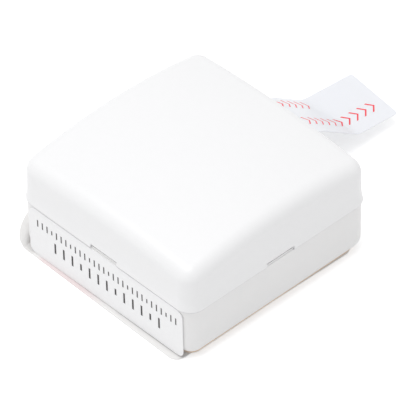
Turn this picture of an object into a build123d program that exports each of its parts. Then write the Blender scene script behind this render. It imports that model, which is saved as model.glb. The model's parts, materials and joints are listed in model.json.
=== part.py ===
"""Stick-on glass break sensor: a square two-part housing with its battery, board and vibration disc.

Millimetres, +Z away from the glass. The origin is the middle of the bonding face, under the liner.
The labelled side faces -Y and the film tab leaves on +Y.
"""

import os
from math import cos, radians, sin, tan

from build123d import *

# Housing
base_corner_radius = 3.0
base_bottom_radius = 2.6
base_inner_radius = 0.8
wall = 1.6
floor_thickness = 1.6
draft = 0.5
lip_height = 1.8
lip_thickness = 0.8
lip_clearance = 0.05
cover_overhang = 0.4
cover_height = 12.1
dome_radius = 107.0
ridge_radius = 220.0
cover_edge_margin = 0.1
cover_inner_chamfer = 1.0
flare_height = 3.0
flare_depth = 0.4
skirt_depth = 2.4
rim_radius = 0.35
notch_width = 6.8
notch_height = 1.0
rib_width = 1.2
rib_depth = 1.0
rib_spacing = 27.0
rib_reach = 1.2
rib_height = 6.0

# Bonding pad and its release liner
pad_thickness = 0.55
pad_inset = 1.8
pad_corner_radius = 2.0
liner_thickness = 0.15
liner_inset = 0.45
liner_corner_radius = 2.5
liner_shift = (-1.3, -1.4)
liner_turn = -1.2

# Side label
label_thickness = 0.1
label_side_margin = 2.25
label_bottom_margin = 1.6
label_shift = 0.7
label_drop = 0.3
label_corner_radius = 1.5

# Board and what carries it
board_thickness = 1.6
board_clearance = 0.8
parts_strip = 10.5
board_corner_radius = 2.0
post_inset = 3.4
post_radius = 2.2
post_height = 2.0
peg_radius = 0.9
peg_rise = 0.5
peg_clearance = 0.05
screw_radius = 0.95
screw_clearance = 0.02
screw_length = 4.0
screw_head_radius = 1.8
screw_head_height = 1.2
screw_hole_radius = 1.1
screw_slot_width = 0.45
screw_slot_length = 2.2
screw_slot_depth = 0.6

# Coin cell, its holder and contacts
cell_radius = 12.25
cell_height = 5.0
cell_cap_rise = 0.2
cell_metal = 0.35
cell_seal = 0.4
cell_crimp = 0.75
holder_floor = 0.6
holder_wall = 1.0
holder_clearance = 0.2
holder_drop = 1.0
holder_gap_width = 9.0
holder_back_margin = 2.15
strap_width = 5.0
strap_thickness = 0.3
strap_foot = 1.0
strap_gap = 0.15
strap_edge_margin = 0.35
strap_rise = 1.0
strap_flat = 3.0
contact_width = 4.0
contact_thickness = 0.2
contact_length = 15.0
contact_bow_length = 6.0
contact_clearance = 0.5

# Film tab between the cell and its strap
tab_width = 12.7
tab_thickness = 0.15
tab_clearance = 0.04
tab_slot_clearance = 0.3
tab_overlap = 7.0
tab_droop = ((3.5, 0.0), (11.0, -3.6), (15.8, -8.4), (26.5, -8.9))
tab_bends = (11.0, 9.0, 4.0)

# Vibration disc on the floor
disc_radius = 10.0
disc_thickness = 0.2
disc_glue = 0.1
disc_place = (4.0, -3.0)
ceramic_radius = 7.0
ceramic_thickness = 0.22
lead_radius = 0.25
lead_length = 7.0
lead_bend = 0.45
ceramic_lead_y = -1.5
plate_lead_y = 8.5

# Chips with gull-wing legs
chip_height = 1.5
chip_stand_off = 0.1
chip_depth = 3.9
chip_edge = 0.25
chip_mark_radius = 0.4
chip_mark_depth = 0.1
chip_mark_inset = 0.9
leg_pitch = 1.27
leg_width = 0.4
leg_thickness = 0.2
leg_height = 0.75
leg_shoulder = 0.35
leg_slope = 0.2
leg_foot = 0.5
controller_legs = 7
controller_place = (3.2, 5.0)
amplifier_legs = 4
amplifier_place = (5.2, 17.6)

# Resonator, transistor, crystal and trimmer
saw_side = 5.0
saw_height = 1.0
saw_lid_side = 4.3
saw_lid_height = 0.5
saw_place = (5.2, 12.0)
transistor_size = (2.9, 1.3, 1.0)
transistor_leg_reach = 0.6
transistor_place = (5.0, 7.6)
crystal_radius = 1.0
crystal_length = 6.0
crystal_place = (5.6, 6.6)
crystal_lead = 0.25
crystal_lead_reach = 0.8
crystal_lead_spacing = 0.8
trimmer_size = (4.0, 4.5, 2.4)
trimmer_rotor_radius = 1.7
trimmer_rotor_height = 0.6
trimmer_slot = (0.5, 2.4, 0.35)
trimmer_clearance = 0.05
trimmer_place = (7.9, 3.7)

# Capacitors, resistors, inductor and antenna
can_radius = 2.5
can_height = 5.0
can_edge = 0.4
can_groove = 0.2
can_groove_height = 0.6
can_base_side = 5.3
can_base_height = 0.8
can_base_corner = 1.2
can_place = (5.6, 10.0)
tantalum_size = (3.5, 2.8, 1.9)
tantalum_edge = 0.3
tantalum_place = (2.1, 3.4)
small_chip_size = (1.6, 0.8)
resistor_height = 0.45
small_capacitor_height = 0.8
small_chip_pitch = 1.7
resistor_places = ((7.0, 2.6), (9.2, 2.6), (11.4, 2.6))
front_capacitor_places = ((1.9, 3.0), (4.3, 3.0))
back_capacitor_places = ((7.2, 2.0), (9.6, 1.6))
inductor_size = (3.2, 2.5, 2.0)
inductor_waist = 0.5
inductor_flange = 0.6
inductor_place = (2.1, 7.2)
antenna_wire_radius = 0.4
antenna_length = 22.0
antenna_rise = 4.6
antenna_bend = 1.5
antenna_inset = 1.2

# Heights of the stack, from the bonding face up
underside_z = liner_thickness + pad_thickness
floor_z = underside_z + floor_thickness
board_z = floor_z + post_height
board_top = board_z + board_thickness
cell_z = board_top + holder_floor
seam_z = cell_z + cell_height
base_height = seam_z - underside_z

# Half widths: the board holds the cell beside a strip of parts, and the housing fits the board
holder_radius = cell_radius + holder_clearance + holder_wall
strap_reach = strap_gap + strap_thickness + strap_foot
board_half = (strap_edge_margin + strap_reach + 2 * holder_radius + parts_strip) / 2
cavity_half = board_half + board_clearance
base_half = cavity_half + wall
base_side = 2 * base_half
cover_half = base_half + cover_overhang
cover_corner_radius = base_corner_radius + cover_overhang
wall_lean = (cover_height - flare_height) * tan(radians(draft))
cover_edge_radius = cover_corner_radius - flare_depth - wall_lean - cover_edge_margin
recess_half = cavity_half + lip_thickness + lip_clearance
post_offset = board_half - post_inset
cell_x = strap_edge_margin + strap_reach + holder_radius - board_half
cell_y = board_half - holder_back_margin - holder_radius
screw_places = ((-post_offset, -post_offset), (post_offset, post_offset))
peg_places = ((-post_offset, post_offset), (post_offset, -post_offset))
tab_z = seam_z + tab_clearance
tab_slot_width = tab_width + 2 * tab_slot_clearance
tab_slot_height = tab_thickness + 2 * tab_clearance
holder_edge = cell_x + holder_radius
holder_front = cell_y - holder_radius
controller_x = cell_x + controller_place[0]
controller_y = controller_place[1] - board_half
amplifier_x = board_half - amplifier_place[0]
amplifier_y = amplifier_place[1] - board_half
saw_x = board_half - saw_place[0]
saw_y = board_half - saw_place[1]
transistor_x = board_half - transistor_place[0]
transistor_y = board_half - transistor_place[1]
trimmer_x = board_half - trimmer_place[0]
trimmer_y = board_half - trimmer_place[1]

# Base tray
with BuildPart() as base_hollow:
    with BuildSketch(Plane.XY.offset(seam_z)):
        RectangleRounded(2 * cavity_half, 2 * cavity_half, base_corner_radius - wall)
    extrude(amount=floor_z - seam_z, taper=draft)
    fillet(base_hollow.faces().sort_by(Axis.Z)[0].edges(), base_inner_radius)

with BuildPart() as base_tray:
    with BuildSketch(Plane.XY.offset(seam_z)):
        RectangleRounded(base_side, base_side, base_corner_radius)
    extrude(amount=-base_height, taper=draft)
    fillet(base_tray.faces().sort_by(Axis.Z)[0].edges(), base_bottom_radius)
    add(base_hollow.part, mode=Mode.SUBTRACT)
    with BuildSketch(Plane.XY.offset(seam_z)):
        lip_side = 2 * (cavity_half + lip_thickness)
        RectangleRounded(lip_side, lip_side, base_corner_radius - wall + lip_thickness)
        RectangleRounded(2 * cavity_half, 2 * cavity_half, base_corner_radius - wall, mode=Mode.SUBTRACT)
        with Locations((cell_x, cavity_half)):
            Rectangle(tab_slot_width, 4 * wall, mode=Mode.SUBTRACT)
    extrude(amount=lip_height)
    with BuildSketch(Plane.XY.offset(floor_z)):
        with GridLocations(2 * post_offset, 2 * post_offset, 2, 2):
            Circle(post_radius)
    extrude(amount=post_height)
    with BuildSketch(Plane.XY.offset(board_z)):
        with Locations(*peg_places):
            Circle(peg_radius)
    extrude(amount=board_thickness + peg_rise)
    with BuildSketch(Plane.XY.offset(board_z)):
        with Locations(*screw_places):
            Circle(screw_radius + screw_clearance)
    extrude(amount=-(screw_length - board_thickness), mode=Mode.SUBTRACT)

# Top cover, under a top that curves strongly across Y and a little along X
ridge_axis = Axis((0, 0, seam_z + cover_height - ridge_radius), (0, 1, 0))


def dome(inset):
    """Return the ring-shaped body whose crown lies the inset below the cover's top."""
    with BuildPart() as ring:
        with BuildSketch(Plane.XY.offset(ridge_axis.position.Z)):
            with Locations((ridge_radius - dome_radius, 0)):
                Circle(dome_radius - inset)
            with Locations((ridge_radius, 0)):
                Rectangle(4 * cover_height, 4 * cover_half, mode=Mode.INTERSECT)
        revolve(axis=ridge_axis)
    return ring.part


outer_dome = dome(0)
inner_dome = dome(wall)

with BuildPart() as cover_hollow:
    with BuildSketch(Plane.XY.offset(seam_z)):
        inner_side = 2 * (cover_half - wall)
        RectangleRounded(inner_side, inner_side, cover_corner_radius - wall)
    extrude(amount=cover_height, taper=draft)
    add(inner_dome, mode=Mode.INTERSECT)
    chamfer(cover_hollow.faces().sort_by(Axis.Z)[-1].edges(), cover_inner_chamfer)
    with BuildSketch(Plane.XY.offset(seam_z)):
        recess_radius = base_corner_radius - wall + lip_thickness + lip_clearance
        RectangleRounded(2 * recess_half, 2 * recess_half, recess_radius)
    extrude(amount=lip_height + lip_clearance)

with BuildPart() as top_cover:
    with BuildLine(Plane.XY.offset(seam_z)) as rim:
        FilletPolyline(
            (cover_half, cover_half),
            (-cover_half, cover_half),
            (-cover_half, -cover_half),
            (cover_half, -cover_half),
            radius=cover_corner_radius,
            close=True,
        )
    with BuildSketch(Plane(origin=rim.line @ 0, x_dir=(0, -1, 0), z_dir=-(rim.line % 0))) as skirt:
        with BuildLine():
            wall_line = Line((-flare_depth - wall_lean, cover_height), (-flare_depth, flare_height))
            TangentArc(wall_line @ 1, (0, 0), tangent=wall_line % 1)
            Polyline((0, 0), (-skirt_depth, 0), (-skirt_depth, cover_height), wall_line @ 0)
        make_face()
        fillet(skirt.vertices().group_by(Axis.Y)[0].sort_by(Axis.X)[-1], rim_radius)
    sweep(path=rim.line)
    with BuildSketch(Plane.XY.offset(seam_z)):
        core_half = cover_half - skirt_depth / 2
        RectangleRounded(2 * core_half, 2 * core_half, cover_corner_radius - skirt_depth / 2)
    extrude(amount=cover_height)
    add(outer_dome, mode=Mode.INTERSECT)
    fillet(top_cover.faces().sort_by(Axis.Z)[-1].edges(), cover_edge_radius)
    add(cover_hollow.part, mode=Mode.SUBTRACT)
    with BuildSketch(Plane.XY.offset(seam_z)):
        with Locations((0, -cover_half), (cover_half, 0), (-cover_half, 0)):
            Rectangle(notch_width, notch_width)
        Rectangle(2 * recess_half - wall, 2 * recess_half - wall, mode=Mode.SUBTRACT)
    extrude(amount=notch_height, mode=Mode.SUBTRACT)
    with BuildSketch(Plane.XY.offset(seam_z)):
        with Locations((cell_x, cover_half)):
            Rectangle(tab_slot_width, 4 * wall)
    extrude(amount=tab_slot_height, mode=Mode.SUBTRACT)
    rib_face = cavity_half - lip_clearance
    with BuildSketch(Plane.XY.offset(seam_z - rib_reach)):
        with PolarLocations(rib_face - rib_depth / 2, 4):
            with GridLocations(0, rib_spacing, 1, 2):
                Rectangle(rib_depth, rib_width)
    extrude(amount=rib_reach + rib_height)
    with BuildSketch(Plane.XY.offset(seam_z + lip_height + lip_clearance)):
        with PolarLocations(cover_half - wall, 4):
            with GridLocations(0, rib_spacing, 1, 2):
                Rectangle(wall, rib_width)
    extrude(amount=rib_height - lip_height - lip_clearance)

# Bonding pad and release liner
with BuildPart() as adhesive_pad:
    with BuildSketch(Plane.XY.offset(liner_thickness)):
        pad_side = base_side - 2 * pad_inset
        RectangleRounded(pad_side, pad_side, pad_corner_radius)
    extrude(amount=pad_thickness)

with BuildPart() as release_liner:
    with BuildSketch(Plane.XY):
        liner_side = base_side - 2 * liner_inset
        with Locations(Location((*liner_shift, 0), (0, 0, liner_turn))):
            RectangleRounded(liner_side, liner_side, liner_corner_radius)
    extrude(amount=liner_thickness)

# Side label, flat against the drafted wall
lean = radians(draft)
label_width = base_side - 2 * label_side_margin
label_height = base_height - label_drop - label_bottom_margin
label_plane = Plane(origin=(0, -base_half, seam_z), x_dir=(1, 0, 0), z_dir=(0, -cos(lean), -sin(lean)))
with BuildPart() as side_label:
    with BuildSketch(label_plane):
        with Locations((label_shift, -label_drop - label_height / 2)):
            RectangleRounded(label_width, label_height, label_corner_radius)
    extrude(amount=label_thickness)

# Circuit board and its screws
with BuildPart() as circuit_board:
    with BuildSketch(Plane.XY.offset(board_z)):
        RectangleRounded(2 * board_half, 2 * board_half, board_corner_radius)
        with Locations(*screw_places):
            Circle(screw_hole_radius, mode=Mode.SUBTRACT)
        with Locations(*peg_places):
            Circle(peg_radius + peg_clearance, mode=Mode.SUBTRACT)
    extrude(amount=board_thickness)

with BuildPart() as board_screws:
    with BuildSketch(Plane.XY.offset(board_top)):
        with Locations(*screw_places):
            Circle(screw_radius)
    extrude(amount=-screw_length)
    with BuildSketch(Plane.XY.offset(board_top)):
        with Locations(*screw_places):
            Circle(screw_head_radius)
    extrude(amount=screw_head_height)
    fillet(board_screws.faces().group_by(Axis.Z)[-1].edges(), screw_head_height / 2)
    with BuildSketch(Plane.XY.offset(board_top + screw_head_height)):
        with Locations(*screw_places):
            Rectangle(screw_slot_length, screw_slot_width)
            Rectangle(screw_slot_width, screw_slot_length)
    extrude(amount=-screw_slot_depth, mode=Mode.SUBTRACT)

# Coin cell, made as a can, a sealing ring and a filled cap
cell_plane = Plane(origin=(cell_x, cell_y, cell_z), x_dir=(1, 0, 0), z_dir=(0, -1, 0))
cell_axis = Axis((cell_x, cell_y, 0), (0, 0, 1))
can_inner = cell_radius - cell_metal
mass_radius = can_inner - cell_seal
cap_radius = mass_radius - cell_crimp
crimp_top = cell_cap_rise + cell_metal
step_z = crimp_top + cell_seal
can_roof = cell_height - cell_metal
with BuildPart() as coin_cell_can:
    with BuildSketch(cell_plane):
        with BuildLine():
            Polyline(
                (0, cell_height),
                (cell_radius, cell_height),
                (cell_radius, cell_cap_rise),
                (cap_radius + cell_seal, cell_cap_rise),
                (cap_radius + cell_seal, crimp_top),
                (can_inner, crimp_top),
                (can_inner, can_roof),
                (0, can_roof),
                close=True,
            )
        make_face()
    revolve(axis=cell_axis)
    fillet(coin_cell_can.faces().sort_by(Axis.Z)[-1].edges(), cell_metal)

with BuildPart() as coin_cell_seal:
    with BuildSketch(cell_plane):
        with BuildLine():
            Polyline(
                (cap_radius, cell_cap_rise),
                (cap_radius + cell_seal, cell_cap_rise),
                (cap_radius + cell_seal, crimp_top),
                (can_inner, crimp_top),
                (can_inner, can_roof),
                (mass_radius, can_roof),
                (mass_radius, step_z),
                (cap_radius, step_z),
                close=True,
            )
        make_face()
    revolve(axis=cell_axis)

with BuildPart() as coin_cell_cap:
    with BuildSketch(cell_plane):
        with BuildLine():
            Polyline(
                (0, 0),
                (cap_radius, 0),
                (cap_radius, step_z),
                (mass_radius, step_z),
                (mass_radius, can_roof),
                (0, can_roof),
                close=True,
            )
        make_face()
    revolve(axis=cell_axis)

# Cell holder, with a window for the lower contact and a gap to lift the cell out
with BuildPart() as battery_holder:
    with BuildSketch(Plane.XY.offset(board_top)):
        with Locations((cell_x, cell_y)):
            Circle(holder_radius)
            Rectangle(
                contact_length + 2 * contact_clearance,
                contact_width + 2 * contact_clearance,
                mode=Mode.SUBTRACT,
            )
    extrude(amount=holder_floor)
    with BuildSketch(Plane.XY.offset(cell_z)):
        with Locations((cell_x, cell_y)):
            Circle(holder_radius)
            Circle(holder_radius - holder_wall, mode=Mode.SUBTRACT)
        with Locations((cell_x, holder_front)):
            Rectangle(holder_gap_width, holder_radius, mode=Mode.SUBTRACT)
    extrude(amount=cell_height - holder_drop)

# Spring strap over the cell and bowed contact under it
strap_half = holder_radius + strap_gap + strap_thickness
strap_low = tab_z + tab_thickness + tab_clearance + strap_thickness - board_top
strap_high = strap_low + strap_rise
with BuildPart() as battery_strap:
    with BuildSketch(Plane(origin=(cell_x, cell_y, board_top), x_dir=(1, 0, 0), z_dir=(0, -1, 0))):
        with BuildLine():
            FilletPolyline(
                (-strap_half - strap_foot, strap_thickness),
                (-strap_half, strap_thickness),
                (-strap_half, strap_high),
                (-strap_flat, strap_high),
                (-strap_flat / 2, strap_low),
                (strap_flat / 2, strap_low),
                (strap_flat, strap_high),
                (strap_half, strap_high),
                (strap_half, strap_thickness),
                (strap_half + strap_foot, strap_thickness),
                radius=strap_thickness * 1.5,
            )
            offset(amount=strap_thickness, side=Side.RIGHT)
        make_face()
    extrude(amount=strap_width / 2, both=True)

contact_rise = holder_floor - contact_thickness
with BuildPart() as battery_contact:
    with BuildSketch(Plane(origin=(cell_x, cell_y, board_top), x_dir=(1, 0, 0), z_dir=(0, -1, 0))):
        with BuildLine():
            FilletPolyline(
                (-contact_length / 2, 0),
                (-contact_bow_length / 2, 0),
                (-contact_bow_length / 6, contact_rise),
                (contact_bow_length / 6, contact_rise),
                (contact_bow_length / 2, 0),
                (contact_length / 2, 0),
                radius=contact_thickness * 2,
            )
            offset(amount=contact_thickness, side=Side.LEFT)
        make_face()
    extrude(amount=contact_width / 2, both=True)

# Film tab, flat to the seam and drooping outside it
with BuildPart() as battery_pull_tab:
    with BuildSketch(Plane.YZ.offset(cell_x)):
        with BuildLine():
            FilletPolyline(
                (cell_y - tab_overlap, tab_z),
                *[(base_half + out, tab_z + down) for out, down in tab_droop],
                radius=tab_bends,
            )
            offset(amount=tab_thickness, side=Side.LEFT)
        make_face()
    extrude(amount=tab_width / 2, both=True)

# Vibration disc: glue, brass plate, ceramic and two leads up to the board
plate_z = floor_z + disc_glue
ceramic_z = plate_z + disc_thickness
ceramic_top = ceramic_z + ceramic_thickness
with BuildPart() as piezo_adhesive:
    with BuildSketch(Plane.XY.offset(floor_z)):
        with Locations(disc_place):
            Circle(disc_radius)
    extrude(amount=disc_glue)

with BuildPart() as piezo_plate:
    with BuildSketch(Plane.XY.offset(plate_z)):
        with Locations(disc_place):
            Circle(disc_radius)
    extrude(amount=disc_thickness)

with BuildPart() as piezo_ceramic:
    with BuildSketch(Plane.XY.offset(ceramic_z)):
        with Locations(disc_place):
            Circle(ceramic_radius)
    extrude(amount=ceramic_thickness)

with BuildPart() as piezo_leads:
    for lead_y, rest_z in ((ceramic_lead_y, ceramic_top), (plate_lead_y, ceramic_z)):
        lead_x = disc_place[0]
        lead_place_y = disc_place[1] + lead_y
        lead_z = rest_z + lead_radius
        with BuildLine():
            FilletPolyline(
                (lead_x, lead_place_y, lead_z),
                (lead_x + lead_length, lead_place_y, lead_z),
                (lead_x + lead_length, lead_place_y, board_z),
                radius=lead_bend,
            )
        with BuildSketch(Plane(origin=(lead_x, lead_place_y, lead_z), x_dir=(0, 1, 0), z_dir=(1, 0, 0))):
            Circle(lead_radius)
        sweep()

# Chips with gull-wing legs
with BuildSketch() as leg_pair:
    with BuildLine():
        Polyline(
            (chip_depth / 2, leg_height),
            (chip_depth / 2 + leg_shoulder, leg_height),
            (chip_depth / 2 + leg_shoulder + leg_slope, 0),
            (chip_depth / 2 + leg_shoulder + leg_slope + leg_foot, 0),
        )
        offset(amount=leg_thickness, side=Side.LEFT)
    make_face()
    mirror(about=Plane.YZ)

chip_z = board_top + chip_stand_off
with BuildPart() as microcontroller:
    with BuildSketch(Plane.XY.offset(chip_z)):
        with Locations((controller_x, controller_y)):
            Rectangle(controller_legs * leg_pitch, chip_depth)
    extrude(amount=chip_height)
    chamfer(microcontroller.faces().sort_by(Axis.Z)[-1].edges(), chip_edge)
    with BuildSketch(Plane.XY.offset(chip_z + chip_height)):
        mark_x = controller_x - controller_legs * leg_pitch / 2 + chip_mark_inset
        with Locations((mark_x, controller_y - chip_depth / 2 + chip_mark_inset)):
            Circle(chip_mark_radius)
    extrude(amount=-chip_mark_depth, mode=Mode.SUBTRACT)

with BuildPart() as microcontroller_legs:
    for number in range(controller_legs):
        leg_x = controller_x + (number - (controller_legs - 1) / 2) * leg_pitch
        with BuildSketch(Plane.YZ.offset(leg_x)):
            with Locations((controller_y, board_top)):
                add(leg_pair.sketch)
        extrude(amount=leg_width / 2, both=True)

with BuildPart() as amplifier_chip:
    with BuildSketch(Plane.XY.offset(chip_z)):
        with Locations((amplifier_x, amplifier_y)):
            Rectangle(chip_depth, amplifier_legs * leg_pitch)
    extrude(amount=chip_height)
    chamfer(amplifier_chip.faces().sort_by(Axis.Z)[-1].edges(), chip_edge)
    with BuildSketch(Plane.XY.offset(chip_z + chip_height)):
        mark_y = amplifier_y + amplifier_legs * leg_pitch / 2 - chip_mark_inset
        with Locations((amplifier_x - chip_depth / 2 + chip_mark_inset, mark_y)):
            Circle(chip_mark_radius)
    extrude(amount=-chip_mark_depth, mode=Mode.SUBTRACT)

with BuildPart() as amplifier_legs_set:
    for number in range(amplifier_legs):
        leg_y = amplifier_y + (number - (amplifier_legs - 1) / 2) * leg_pitch
        with BuildSketch(Plane.XZ.offset(-leg_y)):
            with Locations((amplifier_x, board_top)):
                add(leg_pair.sketch)
        extrude(amount=leg_width / 2, both=True)

# Resonator with its metal lid
with BuildPart() as saw_resonator:
    with BuildSketch(Plane.XY.offset(board_top)):
        with Locations((saw_x, saw_y)):
            Rectangle(saw_side, saw_side)
    extrude(amount=saw_height)
    with BuildSketch(Plane.XY.offset(board_top + saw_height)):
        with Locations((saw_x, saw_y)):
            RectangleRounded(saw_lid_side, saw_lid_side, saw_lid_height)
    extrude(amount=saw_lid_height)

# Transmitter transistor, one leg on one side and two on the other
with BuildPart() as rf_transistor:
    with BuildSketch(Plane.XY.offset(board_top)):
        with Locations((transistor_x, transistor_y)):
            Rectangle(transistor_size[0], transistor_size[1])
    extrude(amount=transistor_size[2])
    chamfer(rf_transistor.faces().sort_by(Axis.Z)[-1].edges(), chip_edge / 2)
    with BuildSketch(Plane.XY.offset(board_top)):
        leg_length = transistor_size[1] / 2 + transistor_leg_reach
        with Locations((transistor_x, transistor_y + leg_length / 2)):
            Rectangle(leg_width, leg_length)
        with Locations((transistor_x, transistor_y - leg_length / 2)):
            with GridLocations(2 * (transistor_size[0] / 2 - leg_width), 0, 2, 1):
                Rectangle(leg_width, leg_length)
    extrude(amount=leg_thickness)

# Timing crystal, a small can lying on the board
crystal_x = crystal_place[0] - board_half
crystal_y = crystal_place[1] - board_half
with BuildPart() as crystal_can:
    with BuildSketch(Plane.YZ.offset(crystal_x)):
        with Locations((crystal_y, board_top + crystal_radius)):
            Circle(crystal_radius)
    extrude(amount=crystal_length)
    fillet(crystal_can.edges(), crystal_lead)
    crystal_end = crystal_x + crystal_length
    for side in (-1, 1):
        lead_side_y = crystal_y + side * crystal_lead_spacing / 2
        with BuildSketch(Plane.XZ.offset(-lead_side_y)):
            with BuildLine():
                Polyline(
                    (crystal_end - crystal_lead, board_top + crystal_radius),
                    (crystal_end + crystal_lead_reach, board_top + crystal_radius),
                    (crystal_end + crystal_lead_reach, board_top),
                )
                offset(amount=crystal_lead, side=Side.RIGHT)
            make_face()
        extrude(amount=crystal_lead / 2, both=True)

# Tuning trimmer and its slotted rotor
with BuildPart() as trimmer_body:
    with BuildSketch(Plane.XY.offset(board_top)):
        with Locations((trimmer_x, trimmer_y)):
            Rectangle(trimmer_size[0], trimmer_size[1])
    extrude(amount=trimmer_size[2])
    chamfer(trimmer_body.edges().filter_by(Axis.Z), chip_edge)
    with BuildSketch(Plane.XY.offset(board_top + trimmer_size[2])):
        with Locations((trimmer_x, trimmer_y)):
            Circle(trimmer_rotor_radius + trimmer_clearance)
    extrude(amount=-trimmer_rotor_height, mode=Mode.SUBTRACT)

with BuildPart() as trimmer_rotor:
    with BuildSketch(Plane.XY.offset(board_top + trimmer_size[2])):
        with Locations((trimmer_x, trimmer_y)):
            Circle(trimmer_rotor_radius)
    extrude(amount=-trimmer_rotor_height)
    with BuildSketch(Plane.XY.offset(board_top + trimmer_size[2])):
        with Locations((trimmer_x, trimmer_y)):
            Rectangle(trimmer_slot[0], trimmer_slot[1])
    extrude(amount=-trimmer_slot[2], mode=Mode.SUBTRACT)

# Electrolytic capacitor, a grooved can on its own base
can_x = board_half - can_place[0]
can_y = can_place[1] - board_half
can_z = board_top + can_base_height
with BuildPart() as capacitor_base:
    with BuildSketch(Plane.XY.offset(board_top)):
        with Locations((can_x, can_y)):
            Rectangle(can_base_side, can_base_side)
    extrude(amount=can_base_height)
    chamfer(capacitor_base.edges().filter_by(Axis.Z).group_by(Axis.X)[0], can_base_corner)

with BuildPart() as electrolytic_capacitor:
    with BuildSketch(Plane(origin=(can_x, can_y, can_z), x_dir=(1, 0, 0), z_dir=(0, -1, 0))):
        with BuildLine():
            Polyline(
                (0, 0),
                (can_radius, 0),
                (can_radius, can_groove_height),
                (can_radius - can_groove, can_groove_height + can_groove),
                (can_radius, can_groove_height + 2 * can_groove),
                (can_radius, can_height),
                (0, can_height),
                close=True,
            )
        make_face()
    revolve(axis=Axis((can_x, can_y, 0), (0, 0, 1)))
    fillet(electrolytic_capacitor.faces().sort_by(Axis.Z)[-1].edges(), can_edge)

# Tantalum capacitor
with BuildPart() as tantalum_capacitor:
    with BuildSketch(Plane.XY.offset(board_top)):
        with Locations((cell_x + holder_radius - tantalum_place[0], tantalum_place[1] - board_half)):
            Rectangle(tantalum_size[0], tantalum_size[1])
    extrude(amount=tantalum_size[2])
    chamfer(tantalum_capacitor.faces().sort_by(Axis.Z)[-1].edges(), tantalum_edge)

# Chip resistors and chip capacitors, in pairs at the board's front edge and singly at its back edge
with BuildPart() as chip_resistors:
    with BuildSketch(Plane.XY.offset(board_top)):
        for pair_x, pair_y in resistor_places:
            with Locations((pair_x - board_half, pair_y - board_half)):
                with GridLocations(0, small_chip_pitch, 1, 2):
                    Rectangle(*small_chip_size)
    extrude(amount=resistor_height)

with BuildPart() as chip_capacitors:
    with BuildSketch(Plane.XY.offset(board_top)):
        for pair_x, pair_y in front_capacitor_places:
            with Locations((holder_edge + pair_x, pair_y - board_half)):
                with GridLocations(0, small_chip_pitch, 1, 2):
                    Rectangle(*small_chip_size)
        for chip_x, chip_y in back_capacitor_places:
            with Locations((chip_x - board_half, board_half - chip_y)):
                Rectangle(*small_chip_size)
    extrude(amount=small_capacitor_height)

# Chip inductor, a drum between two flanges
with BuildPart() as chip_inductor:
    inductor_x = holder_edge - inductor_place[0]
    inductor_y = inductor_place[1] - board_half
    with BuildSketch(Plane.XZ.offset(-inductor_y)):
        with Locations((inductor_x, board_top + inductor_size[2] / 2)):
            Rectangle(inductor_size[0], inductor_size[2])
            Rectangle(inductor_size[0] - 2 * inductor_flange, 2 * inductor_size[2], mode=Mode.SUBTRACT)
            Rectangle(inductor_size[0], inductor_size[2] - 2 * inductor_waist)
    extrude(amount=inductor_size[1] / 2, both=True)

# Loop antenna along the board's edge
antenna_x = board_half - antenna_inset
with BuildPart() as loop_antenna:
    with BuildLine():
        FilletPolyline(
            (antenna_x, -antenna_length / 2, board_top),
            (antenna_x, -antenna_length / 2, board_top + antenna_rise),
            (antenna_x, antenna_length / 2, board_top + antenna_rise),
            (antenna_x, antenna_length / 2, board_top),
            radius=antenna_bend,
        )
    with BuildSketch(Plane(origin=(antenna_x, -antenna_length / 2, board_top), z_dir=(0, 0, 1))):
        Circle(antenna_wire_radius)
    sweep()

pieces = {
    "base_tray": base_tray,
    "top_cover": top_cover,
    "adhesive_pad": adhesive_pad,
    "release_liner": release_liner,
    "side_label": side_label,
    "circuit_board": circuit_board,
    "board_screws": board_screws,
    "coin_cell_can": coin_cell_can,
    "coin_cell_seal": coin_cell_seal,
    "coin_cell_cap": coin_cell_cap,
    "battery_holder": battery_holder,
    "battery_strap": battery_strap,
    "battery_contact": battery_contact,
    "battery_pull_tab": battery_pull_tab,
    "piezo_adhesive": piezo_adhesive,
    "piezo_plate": piezo_plate,
    "piezo_ceramic": piezo_ceramic,
    "piezo_leads": piezo_leads,
    "microcontroller": microcontroller,
    "microcontroller_legs": microcontroller_legs,
    "amplifier_chip": amplifier_chip,
    "amplifier_legs": amplifier_legs_set,
    "saw_resonator": saw_resonator,
    "rf_transistor": rf_transistor,
    "crystal_can": crystal_can,
    "trimmer_body": trimmer_body,
    "trimmer_rotor": trimmer_rotor,
    "capacitor_base": capacitor_base,
    "electrolytic_capacitor": electrolytic_capacitor,
    "tantalum_capacitor": tantalum_capacitor,
    "chip_resistors": chip_resistors,
    "chip_capacitors": chip_capacitors,
    "chip_inductor": chip_inductor,
    "loop_antenna": loop_antenna,
}

os.makedirs("parts", exist_ok=True)
for name, piece in pieces.items():
    piece.part.label = name
    export_step(piece.part, f"parts/{name}.step")
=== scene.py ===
"""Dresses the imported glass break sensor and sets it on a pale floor, as the photograph shows it."""

import json
from math import ceil, cos, radians, sin, tan

import bmesh
import bpy
from bpy.props import FloatProperty, IntProperty, PointerProperty, StringProperty
from mathutils import Matrix, Vector


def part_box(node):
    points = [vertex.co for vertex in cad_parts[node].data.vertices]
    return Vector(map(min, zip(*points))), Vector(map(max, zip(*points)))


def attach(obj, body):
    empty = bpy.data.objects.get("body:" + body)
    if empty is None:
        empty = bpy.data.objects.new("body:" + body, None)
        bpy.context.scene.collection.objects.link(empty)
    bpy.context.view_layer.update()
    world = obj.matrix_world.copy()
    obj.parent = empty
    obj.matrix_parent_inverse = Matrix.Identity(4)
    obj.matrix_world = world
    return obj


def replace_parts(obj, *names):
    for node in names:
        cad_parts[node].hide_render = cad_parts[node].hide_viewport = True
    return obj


bl_info = {
    "name": "Glass break sensor",
    "version": (1, 0, 0),
    "blender": (4, 5, 0),
    "location": "3D View > Sidebar > Sensor",
    "description": "Finishes a stick-on glass break sensor and its studio stage",
    "category": "Object",
}

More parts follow.
